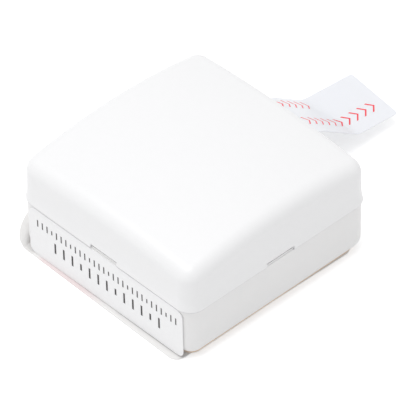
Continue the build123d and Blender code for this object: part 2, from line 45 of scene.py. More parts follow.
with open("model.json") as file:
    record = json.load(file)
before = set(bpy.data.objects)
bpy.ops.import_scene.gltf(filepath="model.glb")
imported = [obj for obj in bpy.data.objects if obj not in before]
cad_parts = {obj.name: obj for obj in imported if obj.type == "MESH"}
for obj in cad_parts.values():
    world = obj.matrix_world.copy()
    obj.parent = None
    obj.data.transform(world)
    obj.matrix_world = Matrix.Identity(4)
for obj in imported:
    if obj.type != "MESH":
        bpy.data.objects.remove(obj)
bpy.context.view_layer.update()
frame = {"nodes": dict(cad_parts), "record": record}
MM = 0.001

# The photograph's side in pixels, how far the tray's lip stands over the seam, and the seam's height
IMAGE_SIDE = 416
LIP_HEIGHT = 1.8 * MM
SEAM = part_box("base_tray")[1].z - LIP_HEIGHT

# Meshes: distances at which points are welded and cuts are snapped, in metres, the angle from which an edge
# is sharp, and the steps of a sheet's rounded corner
WELD = 1e-7
CAD_WELD = 1e-6
CUT_SNAP = 1e-8
SHARP_EDGE = radians(40)
CORNER_STEPS = 8

# Materials: grains across one patch of colour, and how strongly they bump the surface
GRAINS_PER_PATCH = 5
BUMP_STRENGTH = 0.6

# Housing, in millimetres: heights over the seam between which the cover's rim darkens in painted shade,
# standing in for the shadow in the seam's gap, and two corners of the ledge in the labelled side's pry notch,
# with the turns about Z that take it to each notch
RIM_SHADE_BAND = (0.42, 0.12)
LEDGE_LOW = (-3.35, -21.9, 11.4)
LEDGE_HIGH = (3.35, -21.1, 11.92)
LEDGE_TURNS = (0, 90, -90)

# Side label: its two rows of ticks in millimetres from its middle, the share of a short tick's height, and
# the heights of the ink's two faces over the paper in millimetres
LABEL_CORNER = 1.5 * MM
LABEL_THICKNESS = 0.1 * MM
LABEL_SPACING = 4 * MM
SMALL_ROW = {"ends": (-17.7, 18.2), "level": 2.4, "height": 1.55, "width": 0.27}
LARGE_ROW = {"ends": (-13.2, 13.8), "level": -0.9, "height": 2.4, "width": 0.42}
TICK_GROUP = 4
SHORT_TICK = 0.62
TICK_FACES = (0.005, 0.02)

# Foam pad
PAD_CORNER = 2 * MM
PAD_SPACING = 8 * MM

# Release liner: corner and turn as the CAD cuts it, and where its painted pink reflection of the adhesive
# tape comes and goes along X, in millimetres
LINER_CORNER = 2.5 * MM
LINER_TURN = radians(-1.2)
LINER_SPACING = 0.6 * MM
PINK_REFLECTION_COMES = (1.0, -6.0)
PINK_REFLECTION_GOES = (-15.8, -17.8)

# The wave in the liner's left edge: the start and length of each slope, in millimetres from the corner
WAVE_FLANK = (2.65, 1.3)
WAVE_RISE = (-0.3, 4.8)
WAVE_FALL = (19.0, 14.0)

# Film tab: its route as distance along +Y and height from the seam, in millimetres, and the bends' radii
TAB_THICKNESS = 0.15 * MM
TAB_ROUTE = [(-3.0, 0.0), (26.2, 0.0), (30.0, -1.5), (38.4, -7.5), (49.4, -8.15)]
TAB_BENDS = [9.0, 11.0, 4.5]
TAB_CORNER = 0.7 * MM
TAB_SPACING = 0.45 * MM

# Chevrons: each row's place across the film and its bare end, both in millimetres, and how many fewer it
# has. The far row stops where the film bends, as the print does. The pitch is in millimetres
CHEVRON_ROWS = [(2.3, 2.4, 0), (-4.0, 13.2, 5)]
CHEVRON_PITCH = 2.0
CHEVRON_ARM = 1.25 * MM
CHEVRON_STROKE = 0.38 * MM
CHEVRON_SLANT = -0.9
INK_THICKNESS = 0.01 * MM

# Board: copper lines as (x, y) points in millimetres, between the parts that they join
TRACES = [
    [(3.0, -12.1), (4.2, -12.1), (4.9, -12.4), (5.4, -12.4)],
    [(8.6, -12.4), (9.8, -12.4), (10.6, -13.2), (10.6, -15.3)],
    [(1.4, -17.6), (1.4, -18.7), (9.4, -18.7), (10.2, -17.9)],
    [(-1.2, -17.6), (-1.2, -19.0), (15.6, -19.0), (17.4, -17.2), (17.4, -5.6), (16.9, -3.9)],
    [(-3.7, -11.6), (-3.7, -10.4), (-6.0, -10.4), (-7.2, -11.6), (-8.8, -11.6)],
    [(-5.0, -11.6), (-5.0, -11.0), (-5.8, -10.9), (-7.8, -10.9), (-8.4, -11.2)],
    [(-5.2, -17.2), (-6.6, -17.2), (-7.4, -17.0)],
    [(-9.4, -15.8), (-9.4, -14.9), (-15.4, -14.9), (-18.0, -12.3), (-18.0, -4.0)],
    [(-13.4, -17.8), (-14.0, -17.8), (-18.9, -12.9), (-18.9, 6.0)],
    [(12.0, -0.1), (11.0, -0.1), (10.2, 0.7), (10.2, 4.2), (11.2, 5.2), (12.2, 5.6)],
    [(17.2, -0.1), (18.2, 0.9), (18.2, 9.4), (16.0, 11.4)],
    [(16.9, 8.6), (17.6, 9.3), (17.6, 12.4), (18.3, 13.1), (18.3, 11.4)],
    [(14.4, 13.2), (14.4, 14.0), (13.7, 14.8)],
    [(9.7, 16.8), (7.0, 16.8), (5.2, 18.6), (-8.0, 18.6), (-9.2, 18.0)],
    [(-13.2, 17.6), (-14.6, 17.6), (-18.9, 13.3), (-18.9, 8.0)],
    [(14.0, -6.9), (14.0, -5.6), (12.2, -5.0), (12.0, -4.1)],
]
TRACE_WIDTH = 0.34
COPPER_RISE = 0.04
VIA_PLACES = [
    (-18.0, -3.6),
    (-18.9, 6.6),
    (-18.9, 7.6),
    (9.2, -10.6),
    (10.2, 3.0),
    (18.2, 3.6),
    (6.0, 18.6),
    (17.4, -12.0),
]
VIA_RADIUS = 0.4 * MM
VIA_RING = 0.2 * MM

# Board: how far the pads stand out past each soldered part along X and Y, in millimetres
PAD_GROWTH = {
    "microcontroller_legs": (0.12, 0.35),
    "amplifier_legs": (0.35, 0.12),
    "chip_resistors": (0.4, 0.06),
    "chip_capacitors": (0.4, 0.06),
    "chip_inductor": (0.4, -0.2),
    "tantalum_capacitor": (0.45, -0.4),
    "rf_transistor": (0.1, 0.4),
    "crystal_can": (0.7, -0.5),
    "saw_resonator": (0.35, -0.7),
    "trimmer_body": (-1.0, 0.6),
    "capacitor_base": (0.8, -2.0),
}

# Board: the parts with a printed outline, and how much larger in millimetres each outline is than its part
OUTLINED = [
    "microcontroller",
    "amplifier_chip",
    "saw_resonator",
    "trimmer_body",
    "capacitor_base",
    "crystal_can",
]
OUTLINE_GAP = 1.3
OUTLINE_RISE = 0.02 * MM
OUTLINE_STROKE = 0.18 * MM

# Chip end caps: the thickness of the tin in millimetres, and how far it reaches along the chip
CAP_TIN = 0.02
CAP_REACH = 0.35 * MM

# Stage: sizes and places in metres, but the camera's frame in millimetres
WHITE = (1, 1, 1, 1)
FLOOR_REACH = 1.5
FLOOR_DROP = 0.02 * MM
FLOOR_GLOW = 0.36
LIGHT_SIZE = 0.45
LIGHT_PLACE = (-0.06, -0.16, 0.65)
FRAME_WIDTH = 36.0
SIGHT_END = 20.0


# Sizes and colours that a user would change

def length(name, description, millimetres):
    """Return a property for a length."""
    return FloatProperty(
        name=name,
        description=description,
        default=millimetres * MM,
        subtype="DISTANCE",
        unit="LENGTH",
        precision=6,
    )


def angled(name, description, degrees):
    """Return a property for an angle."""
    return FloatProperty(name=name, description=description, default=radians(degrees), subtype="ANGLE")


def colour(name, description, value):
    """Return a property for an sRGB hex colour."""
    meaning = f"sRGB hex colour of {description}"
    return StringProperty(name=name, description=meaning, default=value, maxlen=6)


class HousingSettings(bpy.types.PropertyGroup):
    cover: colour("Cover", "the moulded cover", "F0F0F1")
    tray: colour("Tray", "the moulded tray", "ECEBEB")
    # Painted shade: the colour that the cover's rim darkens to, standing in for the shadow in the seam's gap
    rim_shade: colour("Rim", "the cover's rim where it closes on the tray", "CAC8CC")
    grain: length("Mould grain", "Distance between peaks of the spark-eroded mould texture", 0.3)
    roughness: FloatProperty(
        name="Roughness",
        description="Roughness of the satin moulding",
        default=0.4,
        min=0.0,
        max=1.0,
        subtype="FACTOR",
    )


class LabelSettings(bpy.types.PropertyGroup):
    paper: colour("Paper", "the label stock", "F7F7F8")
    width: length("Width", "Length of the label along the housing", 39.8)
    height: length("Height", "Height of the label, which hangs over the base's rounded edge", 10.95)
    drop: length("Drop", "How far the label's middle sits below the CAD label's", 1.0)
    back: length("Back", "How far the label's middle sits to the left of the CAD label's", 0.45)
    ink: colour("Ink", "the printed ticks", "2B272A")
    tilt: angled("Tilt", "How far askew the label was stuck on", 0.3)
    small_ticks: IntProperty(name="Small ticks", description="Ticks in the upper row", default=30, min=2)
    large_ticks: IntProperty(name="Large ticks", description="Ticks in the lower row", default=13, min=2)


class BondingSettings(bpy.types.PropertyGroup):
    liner: colour("Liner", "the release film", "E8E7E6")
    # Painted reflection: the pink cast of the adhesive tape, painted over a stretch of the liner's film
    tint: colour("Tint", "the adhesive seen through the film", "E7DADA")
    corner: length("Corner", "Radius of the liner's corners", 1.9)
    foam: colour("Foam", "the pad's cut edge", "F0DCC8")
    squeeze: length("Squeeze", "How far the pressed foam stands out past its cut size", 0.2)
    lift: length("Lift", "Height of the wave in the liner's left edge", 5.2)


class TabSettings(bpy.types.PropertyGroup):
    film: colour("Film", "the milky film", "F6F7FB")
    ink: colour("Ink", "the printed chevrons", "F03644")
    skew: angled("Skew", "How far askew the film's last bend runs", 11.5)
    chevrons: IntProperty(name="Chevrons", description="Printed chevrons in the near row", default=12, min=1)


class StageSettings(bpy.types.PropertyGroup):
    azimuth: angled("Azimuth", "Camera's turn from the labelled side", 46.82)
    elevation: angled("Elevation", "Camera's height over the floor", 42.61)
    roll: angled("Roll", "Camera's lean to the side", -0.67)
    distance: length("Distance", "Camera to the housing's seam", 1271.0)
    pixels_per_mm: FloatProperty(
        name="Scale", description="Image pixels for a millimetre at the housing", default=5.596, min=0.1
    )
    seam_x: FloatProperty(name="Seam x", description="Image column of the seam's middle", default=194.26)
    seam_y: FloatProperty(name="Seam y", description="Image row of the seam's middle", default=198.27)
    floor: colour("Floor", "the floor", "F4F4F4")
    ambient: FloatProperty(
        name="Ambient", description="Strength of the white surroundings", default=0.71, min=0.0
    )
    key: FloatProperty(
        name="Key light",
        description="Power of the broad light overhead",
        default=1.98,
        min=0.0,
        subtype="POWER",
        unit="POWER",
    )


# Colours, nodes and meshes

def linear(value):
    """Turn an sRGB hex colour into Blender's linear RGBA."""
    parts = [int(value[i:i + 2], 16) / 255 for i in (0, 2, 4)]
    return [c / 12.92 if c <= 0.04045 else ((c + 0.055) / 1.055) ** 2.4 for c in parts] + [1.0]


def add(tree, kind, inputs=None, **settings):
    """Add a node with its settings, and give each input a value or a link."""
    node = tree.nodes.new(kind)
    for name, value in settings.items():
        setattr(node, name, value)
    for key, value in (inputs or {}).items():
        if isinstance(value, bpy.types.NodeSocket):
            tree.links.new(value, node.inputs[key])
        else:
            node.inputs[key].default_value = value
    return node


def mix(tree, share, first, second):
    """Blend two colours by a share, and return the socket that carries the result."""
    return add(tree, "ShaderNodeMix", {0: share, 6: first, 7: second}, data_type="RGBA").outputs[2]


def empty_material(name):
    """Return a new material, its cleared node tree and its output node."""
    material = bpy.data.materials.new(name)
    material.use_nodes = True
    tree = material.node_tree
    tree.nodes.clear()
    return material, tree, tree.nodes.new("ShaderNodeOutputMaterial")


def finish(
    name, base, mottle, patch, rough, bump=0.0, bands=(), rough_spread=0.05, glow=0.0, **shader_inputs
):
    """Make a moulded, plated, printed or fired surface.

    Its colour drifts from the base to the mottle over patches of that size in millimetres, and the roughness
    varies by the spread. The bump is the depth of a fine grain in millimetres. Each band is (hex colour,
    object axis, start, end), with its places in millimetres: the surface takes that colour towards the end.
    The glow is the share of light that a milky film scatters through to its other side.
    """
    material, tree, output = empty_material(name)
    place = add(tree, "ShaderNodeTexCoord").outputs["Object"]
    drift = add(tree, "ShaderNodeTexNoise", {"Vector": place, "Scale": 1 / (patch * MM), "Detail": 3.0})
    patches = drift.outputs["Fac"]
    tint = mix(tree, patches, linear(base), linear(mottle))
    for value, axis, start, end in bands:
        spot = add(tree, "ShaderNodeSeparateXYZ", {0: place}).outputs[axis]
        share = add(
            tree,
            "ShaderNodeMapRange",
            {"Value": spot, "From Min": start * MM, "From Max": end * MM},
            interpolation_type="SMOOTHSTEP",
        ).outputs[0]
        tint = mix(tree, share, tint, linear(value))
    gloss = add(
        tree,
        "ShaderNodeMapRange",
        {"Value": patches, "To Min": rough - rough_spread, "To Max": rough + rough_spread},
    ).outputs[0]
    surface = add(tree, "ShaderNodeBsdfPrincipled", {"Base Color": tint, "Roughness": gloss, **shader_inputs})
    if bump:
        scale = GRAINS_PER_PATCH / (patch * MM)
        grain = add(tree, "ShaderNodeTexNoise", {"Vector": place, "Scale": scale, "Detail": 4.0})
        relief = {"Height": grain.outputs["Fac"], "Distance": bump * MM, "Strength": BUMP_STRENGTH}
        height = add(tree, "ShaderNodeBump", relief)
        tree.links.new(height.outputs[0], surface.inputs["Normal"])
    if glow:
        through = add(tree, "ShaderNodeBsdfTranslucent", {"Color": tint}).outputs[0]
        surface = add(tree, "ShaderNodeMixShader", {0: glow, 1: surface.outputs[0], 2: through})
    tree.links.new(surface.outputs[0], output.inputs["Surface"])
    return material


def dress(node, material):
    """Give a CAD node its finish."""
    piece = frame["nodes"][node]
    for slot in piece.material_slots:
        slot.material = material
    if not piece.material_slots:
        piece.data.materials.append(material)


def make_piece(name, bm, material, node, smooth=True):
    """Close a bmesh into an object at the origin that takes this material and rides with a CAD node."""
    bmesh.ops.remove_doubles(bm, verts=bm.verts, dist=WELD)
    bmesh.ops.recalc_face_normals(bm, faces=bm.faces)
    mesh = bpy.data.meshes.new(name)
    bm.to_mesh(mesh)
    bm.free()
    mesh.materials.append(material)
    if smooth:
        mesh.shade_smooth()
        mesh.set_sharp_from_angle(angle=SHARP_EDGE)
    piece = bpy.data.objects.new(name, mesh)
    bpy.context.scene.collection.objects.link(piece)
    if node:
        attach(piece, body_of(node))
    return piece


def body_of(node):
    """Return the body that a CAD node rides on."""
    bodies = frame["record"]["behaviour"]["bodies"]
    return next(body for body, members in bodies.items() if node in members)


def slab(bm, low, high):
    """Add a plain block between two corners."""
    made = bmesh.ops.create_cube(bm, size=1.0)["verts"]
    bmesh.ops.scale(bm, vec=high - low, verts=made)
    bmesh.ops.translate(bm, vec=(high + low) / 2, verts=made)
    return made


def solids_of(node):
    """Return the lowest and highest corners of each separate solid in a CAD node."""
    bm = bmesh.new()
    bm.from_mesh(frame["nodes"][node].data)
    bmesh.ops.remove_doubles(bm, verts=bm.verts, dist=CAD_WELD)
    boxes = []
    waiting = set(bm.verts)
    for first in bm.verts:
        if first not in waiting:
            continue
        waiting.remove(first)
        group = []
        reached = [first]
        while reached:
            vertex = reached.pop()
            group.append(vertex.co.copy())
            near = {link.other_vert(vertex) for link in vertex.link_edges} & waiting
            waiting -= near
            reached.extend(near)
        boxes.append(tuple(Vector(map(pick, zip(*group))) for pick in (min, max)))
    bm.free()
    return boxes


# Thin sheets: cut flat, thickened and bent

def cut_sheet(width, run, corner, spacing):
    """Return a flat skin on z = 0 with rounded corners, its run along +Y from 0, cut at the spacing."""
    bm = bmesh.new()
    bmesh.ops.create_grid(bm, x_segments=1, y_segments=1, size=0.5)
    bmesh.ops.scale(bm, vec=(width, run, 1), verts=bm.verts)
    bmesh.ops.bevel(
        bm,
        geom=bm.verts[:],
        offset=corner,
        segments=CORNER_STEPS,
        profile=0.5,
        affect="VERTICES",
        material=-1,
    )
    bmesh.ops.translate(bm, vec=(0, run / 2, 0), verts=bm.verts)
    for axis, start, size in ((0, -width / 2, width), (1, 0, run)):
        count = round(size / spacing)
        for number in range(1, count):
            spot, normal = Vector(), Vector()
            spot[axis] = start + size * number / count
            normal[axis] = 1
            everything = bm.verts[:] + bm.edges[:] + bm.faces[:]
            bmesh.ops.bisect_plane(bm, geom=everything, dist=CUT_SNAP, plane_co=spot, plane_no=normal)
    return bm


def thicken(bm, thickness):
    """Give a skin its thickness, under the side that it shows."""
    bmesh.ops.recalc_face_normals(bm, faces=bm.faces)
    bmesh.ops.solidify(bm, geom=bm.faces[:], thickness=thickness)


def turn_beyond(bm, turns, skew):
    """Bend a sheet's run at each (start, length, angle) along +Y, far end first, the last bend askew."""
    flat = {v: v.co.xy.copy() for v in bm.verts}
    for number, (start, stretch, angle) in reversed(list(enumerate(turns))):
        slant = tan(skew) if number == len(turns) - 1 else 0.0
        count = max(1, ceil(stretch / TAB_SPACING))
        turn = Matrix.Rotation(angle / count, 3, Vector((1, slant, 0)))
        for step in reversed(range(count)):
            place = start + stretch * (step + 0.5) / count
            beyond = [v for v in bm.verts if flat[v].y - flat[v].x * slant > place]
            if beyond:
                bmesh.ops.rotate(bm, cent=(0, place, 0), matrix=turn, verts=beyond)


def tab_turns():
    """Return the film tab's bends as (start, length, angle) along it, and its whole length."""
    points = [Vector(p) * MM for p in TAB_ROUTE]
    runs = [b - a for a, b in zip(points, points[1:])]
    turns = []
    reached = 0.0
    saved = 0.0
    for run, after, radius in zip(runs, runs[1:], TAB_BENDS):
        angle = after.angle_signed(run)
        cut = radius * MM * tan(abs(angle) / 2)
        reached += run.length - saved - cut
        turns.append((reached, radius * MM * abs(angle), angle))
        reached += radius * MM * abs(angle)
        saved = cut
    return turns, reached + runs[-1].length - saved


# Housing

def pry_ledges():
    """Return the tray's ledges, which stand in the cover's three pry notches."""
    bm = bmesh.new()
    for turn in LEDGE_TURNS:
        made = slab(bm, Vector(LEDGE_LOW) * MM, Vector(LEDGE_HIGH) * MM)
        bmesh.ops.rotate(bm, cent=(0, 0, 0), matrix=Matrix.Rotation(radians(turn), 3, "Z"), verts=made)
    return bm


def moulded_abs(name, base, shade, settings, bands=()):
    """ABS from a spark-eroded mould: an even satin white whose fine grain softens every highlight.

    The grain is drawn at its real spacing, which is close to a pixel, so it only breaks up the gloss.
    """
    return finish(
        name,
        base,
        shade,
        settings.grain / MM * GRAINS_PER_PATCH,
        settings.roughness,
        bump=0.01,
        bands=bands,
        rough_spread=0.03,
        IOR=1.54,
    )


class SENSOR_OT_housing(bpy.types.Operator):
    """Finish the cover and the tray in moulded white plastic."""

    bl_idname = "sensor.housing"
    bl_label = "Finish the housing"

    def execute(self, context):
        settings = context.scene.sensor_housing
        # The cover's rim darkens where it closes on the tray: painted shade that draws the seam's shadowed
        # line
        rim_shade = (settings.rim_shade, "Z", *(SEAM / MM + rise for rise in RIM_SHADE_BAND))
        dress("top_cover", moulded_abs("satin_moulded_abs_cover", settings.cover, "EEEEEF", settings, [rim_shade]))
        tray = moulded_abs("satin_moulded_abs_tray", settings.tray, "E9E9E9", settings)
        dress("base_tray", tray)
        make_piece("pry_ledges", pry_ledges(), tray, "base_tray", smooth=False)
        return {"FINISHED"}


# Label

def label_plane():
    """Return the matrix of the label's printed face: X along it, Y up it and Z out of it."""
    mesh = frame["nodes"]["side_label"].data
    front = max(mesh.polygons, key=lambda face: face.area * -face.normal.y)
    out = front.normal.copy()
    along = Vector((1, 0, 0))
    up = out.cross(along)
    low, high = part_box("side_label")
    middle = (low + high) / 2
    middle += out * (front.center - middle).dot(out)
    return Matrix.Translation(middle) @ Matrix((along, up, out)).transposed().to_4x4()


def ticks_row(bm, count, ends, level, height, width):
    """Add a row of upright ticks between two places along the label, the last of each group shorter."""
    first, last = ends
    under, over = TICK_FACES
    for number in range(count):
        x = first + (last - first) * number / (count - 1)
        tall = height * (SHORT_TICK if number % TICK_GROUP == TICK_GROUP - 1 else 1.0)
        slab(
            bm,
            Vector((x - width / 2, level - tall / 2, under)) * MM,
            Vector((x + width / 2, level + tall / 2, over)) * MM,
        )


class SENSOR_OT_label(bpy.types.Operator):
    """Finish the paper label and print a plain scale of ticks on it."""

    bl_idname = "sensor.label"
    bl_label = "Print the label"

    def execute(self, context):
        settings = context.scene.sensor_label
        shift = Matrix.Translation((-settings.back, -settings.drop, 0))
        face = label_plane() @ shift @ Matrix.Rotation(settings.tilt, 4, "Z")
        # Coated paper, die cut: flat matt white, with fibres only just seen
        paper = finish("coated_label_paper", settings.paper, "F1F1F2", 0.6, 0.55, bump=0.004)
        sheet = cut_sheet(settings.width, settings.height, LABEL_CORNER, LABEL_SPACING)
        foot = face @ Matrix.Translation((0, -settings.height / 2, 0))
        bmesh.ops.transform(sheet, matrix=foot, verts=sheet.verts)
        thicken(sheet, LABEL_THICKNESS)
        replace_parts(make_piece("label_sheet", sheet, paper, "side_label"), "side_label")
        marks = bmesh.new()
        ticks_row(marks, settings.small_ticks, **SMALL_ROW)
        ticks_row(marks, settings.large_ticks, **LARGE_ROW)
        bmesh.ops.transform(marks, matrix=face, verts=marks.verts)
        # Black resin ribbon from a thermal head: dense and dull, a touch warm where it is thin
        ink = finish("thermal_transfer_ink", settings.ink, "3B3639", 0.5, 0.6)
        make_piece("label_ticks", marks, ink, "side_label", smooth=False)
        return {"FINISHED"}


# Bonding pad and its liner

def smooth_step(value):
    """Ease a share from 0 to 1."""
    share = min(1.0, max(0.0, value))
    return share * share * (3 - 2 * share)


def lift_edge(bm, corner, lift):
    """Raise the liner's left edge in a wave beside the housing, where the loose film has buckled."""
    flank, rise, fall = ([place * MM for place in slope] for slope in (WAVE_FLANK, WAVE_RISE, WAVE_FALL))
    for vertex in bm.verts:
        x, y, z = vertex.co
        height = lift * smooth_step((corner.x + flank[0] - x) / flank[1])
        height *= smooth_step((y - corner.y - rise[0]) / rise[1])
        height *= smooth_step((corner.y + fall[0] - y) / fall[1])
        vertex.co.z = z + height


class SENSOR_OT_bonding(bpy.types.Operator):
    """Finish the foam pad and lay the release liner with its buckled edge."""

    bl_idname = "sensor.bonding"
    bl_label = "Lay the pad and liner"

    def execute(self, context):
        settings = context.scene.sensor_bonding
        # Acrylic foam tape, die cut: open pores and a tacky, dull edge the colour of pale toffee
        foam = finish("acrylic_foam_pad", settings.foam, "E6D0BA", 0.35, 0.7, bump=0.05)
        low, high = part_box("adhesive_pad")
        side = high.x - low.x + 2 * settings.squeeze
        bm = cut_sheet(side, side, PAD_CORNER, PAD_SPACING)
        bmesh.ops.translate(bm, vec=(0, -side / 2, high.z), verts=bm.verts)
        thicken(bm, high.z - low.z)
        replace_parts(make_piece("foam_pad", bm, foam, "adhesive_pad"), "adhesive_pad")
        low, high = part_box("release_liner")
        middle = (low + high) / 2
        # The liner lies askew, so its side is worked back from the CAD liner's box
        turned = cos(LINER_TURN) + abs(sin(LINER_TURN))
        side = 2 * (((high.x - low.x) / 2 - LINER_CORNER) / turned + LINER_CORNER)
        bm = cut_sheet(side, side, settings.corner, LINER_SPACING)
        bmesh.ops.translate(bm, vec=(0, -side / 2, 0), verts=bm.verts)
        bmesh.ops.rotate(bm, cent=(0, 0, 0), matrix=Matrix.Rotation(LINER_TURN, 3, "Z"), verts=bm.verts)
        bmesh.ops.translate(bm, vec=(middle.x, middle.y, high.z), verts=bm.verts)
        lift_edge(bm, low, settings.lift)
        thicken(bm, high.z - low.z)
        # Siliconed release film, slit from a roll: glossy and milky, pink with painted reflection of the tape
        pink_reflection_bands = [(settings.tint, "X", *PINK_REFLECTION_COMES), (settings.liner, "X", *PINK_REFLECTION_GOES)]
        film = finish("siliconed_release_film", settings.liner, "E7E6E5", 9.0, 0.3, bands=pink_reflection_bands, IOR=1.5)
        liner = make_piece("liner_film", bm, film, "release_liner")
        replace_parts(liner, "release_liner")
        return {"FINISHED"}


# Battery tab

def chevron(bm, place):
    """Add one flat chevron that points along +Y, as two slanted strokes."""
    half = CHEVRON_STROKE / 2
    for side in (-1, 1):
        mark = slab(bm, Vector((0, -half, 0)), Vector((CHEVRON_ARM, half, INK_THICKNESS)))
        slant = Matrix(((side, 0, 0, 0), (CHEVRON_SLANT, 1, 0, 0), (0, 0, 1, 0), (0, 0, 0, 1)))
        bmesh.ops.transform(bm, matrix=Matrix.Translation(place) @ slant, verts=mark)


class SENSOR_OT_tab(bpy.types.Operator):
    """Make the battery tab's bent film and its printed chevrons."""

    bl_idname = "sensor.tab"
    bl_label = "Make the battery tab"

    def execute(self, context):
        settings = context.scene.sensor_tab
        low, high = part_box("battery_pull_tab")
        turns, whole = tab_turns()
        start = Vector(((low.x + high.x) / 2, low.y, high.z))
        skin = cut_sheet(high.x - low.x, whole, TAB_CORNER, TAB_SPACING)
        marks = bmesh.new()
        for across, bare, fewer in CHEVRON_ROWS:
            for number in range(settings.chevrons - fewer):
                spot = whole - (bare + CHEVRON_PITCH * number) * MM
                chevron(marks, Vector((across * MM, spot, INK_THICKNESS)))
        # Polyester film with a milky fill, calendered: glossy and cool, letting some light through
        film = finish(
            "milky_polyester_film", settings.film, "F4F6FA", 6.0, 0.3, rough_spread=0.02, glow=0.15, IOR=1.6
        )
        # Solvent screen ink on film: a clear warm red with a slight gloss
        ink = finish("red_screen_ink", settings.ink, "F24653", 0.5, 0.4)
        for bm in (skin, marks):
            turn_beyond(bm, turns, settings.skew)
            bmesh.ops.translate(bm, vec=start, verts=bm.verts)
        thicken(skin, TAB_THICKNESS)
        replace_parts(make_piece("tab_film", skin, film, "battery_pull_tab"), "battery_pull_tab")
        make_piece("tab_chevrons", marks, ink, "battery_pull_tab", smooth=False)
        return {"FINISHED"}


# Everything inside the housing

def inner_finishes():
    """Return the finish of each inner node, named for its real material and how it was made."""
    metal = {"Metallic": 1.0}
    # Epoxy glass under solder mask: even green with a soft sheen
    mask = finish("green_solder_mask", "1F6B3A", "1B6034", 3.0, 0.35, bump=0.01)
    # Zinc-plated steel, cold headed: bright with a faint blue cast
    zinc = finish("zinc_plated_steel", "C4C7CC", "B4B8BE", 0.8, 0.3, **metal)
    # Nickel-plated steel, deep drawn: warm grey mirror with fine draw marks
    nickel = finish("drawn_nickel_plated_steel", "C9C6BE", "BDB9B0", 2.0, 0.25, bump=0.004, **metal)
    # The same strip pressed to a cap: a little duller
    cap = finish("pressed_nickel_plated_steel", "BEBBB3", "B1AEA6", 2.0, 0.32, bump=0.004, **metal)
    # Nylon, injection moulded: black, slightly waxy
    nylon = finish("black_moulded_nylon", "29292D", "212125", 1.5, 0.45, bump=0.01)
    # Nylon ring of the cell, squeezed by the crimp: smoother and a shade lighter
    seal = finish("cell_seal_nylon", "37373D", "2E2E33", 0.8, 0.4)
    # Nickel-plated spring strip, stamped and bent: bright and slightly yellow
    spring = finish("plated_spring_strip", "CFC9BA", "C6BFAF", 5.0, 0.27, **metal)
    # Brass sheet, rolled: yellow with a soft grain
    brass = finish("rolled_brass", "C9A14B", "BA9240", 1.0, 0.33, **metal)
    # Fired ceramic with a silver print: chalky pale grey
    silvered = finish("silvered_piezo_ceramic", "D9D7CE", "CECBC0", 0.5, 0.5, bump=0.01)
    # Cured acrylic bonding film: amber and glossy
    glue = finish("cured_bonding_film", "C7B98A", "B9AA78", 0.8, 0.3)
    # Silicone rubber over stranded wire, extruded: soft dark red
    wire = finish("red_silicone_wire", "A02724", "8F211E", 0.6, 0.5)
    # Filled epoxy, transfer moulded: dull black with a fine grain
    epoxy = finish("moulded_chip_epoxy", "2B2B2E", "232326", 0.3, 0.55, bump=0.01)
    # Tin over copper, plated: soft white metal
    tin = finish("tin_plated_copper", "C6C6C8", "B7B7BA", 0.4, 0.35, **metal)
    # Alumina, fired, under a gold-flashed lid: pale straw with a soft gleam
    alumina = finish("fired_alumina_package", "D8C88E", "CCBB80", 0.5, 0.35, Metallic=0.6)
    # Nickel silver, drawn to a can: bright and smooth
    crystal = finish("drawn_nickel_silver", "C8C9CB", "BCBDC0", 0.8, 0.22, **metal)
    # Steatite, pressed and fired: chalk white
    ceramic = finish("white_steatite", "E4E2DA", "DBD8CE", 0.5, 0.4)
    # Brass, turned and plated: pale gold
    rotor = finish("plated_turned_brass", "CDAA5A", "BF9B4C", 0.4, 0.3, **metal)
    # Aluminium, impact extruded and etched: fine satin silver
    aluminium = finish("etched_aluminium", "D2D3D5", "C6C7CA", 0.6, 0.38, bump=0.004, **metal)
    # Phenolic resin, moulded: black and slightly dusty
    resin = finish("black_phenolic_resin", "28282B", "202023", 0.5, 0.5)
    # Epoxy round tantalum, transfer moulded: ochre yellow
    ochre = finish("yellow_capacitor_epoxy", "D79A2B", "CB8F24", 0.5, 0.4)
    # Glass glaze over a resistive print: black and glossy
    glaze = finish("black_resistor_glaze", "222226", "1A1A1E", 0.4, 0.22)
    # Barium titanate, fired: tan and dry
    fired = finish("fired_capacitor_ceramic", "A98662", "9C7A57", 0.4, 0.5)
    # Ferrite, sintered: dark grey and gritty
    ferrite = finish("sintered_ferrite", "3C3C40", "333337", 0.3, 0.6, bump=0.01)
    # Copper wire, drawn and tinned: bright, slightly uneven
    tinned = finish("tinned_copper_wire", "CFC8B8", "C2BAA9", 0.5, 0.28, **metal)
    return {
        mask: ["circuit_board"],
        zinc: ["board_screws"],
        nickel: ["coin_cell_can"],
        cap: ["coin_cell_cap"],
        seal: ["coin_cell_seal"],
        nylon: ["battery_holder"],
        spring: ["battery_strap", "battery_contact"],
        glue: ["piezo_adhesive"],
        brass: ["piezo_plate"],
        silvered: ["piezo_ceramic"],
        wire: ["piezo_leads"],
        epoxy: ["microcontroller", "amplifier_chip", "rf_transistor"],
        tin: ["microcontroller_legs", "amplifier_legs"],
        alumina: ["saw_resonator"],
        crystal: ["crystal_can"],
        ceramic: ["trimmer_body"],
        rotor: ["trimmer_rotor"],
        resin: ["capacitor_base"],
        aluminium: ["electrolytic_capacitor"],
        ochre: ["tantalum_capacitor"],
        glaze: ["chip_resistors"],
        fired: ["chip_capacitors"],
        ferrite: ["chip_inductor"],
        tinned: ["loop_antenna"],
    }


class SENSOR_OT_inside(bpy.types.Operator):
    """Finish the board, the cell, the vibration disc and every part round them."""

    bl_idname = "sensor.inside"
    bl_label = "Finish the inner pieces"

    def execute(self, context):
        for material, nodes in inner_finishes().items():
            for node in nodes:
                dress(node, material)
        return {"FINISHED"}


# Board: pads, copper lines, printed outlines and the chips' end caps

def keep_rim(bm, panel, width):
    """Leave only a strip of this width along a face's edges."""
    bmesh.ops.inset_region(bm, faces=[panel], thickness=width, use_even_offset=True, use_boundary=True)
    bmesh.ops.delete(bm, geom=[panel], context="FACES")


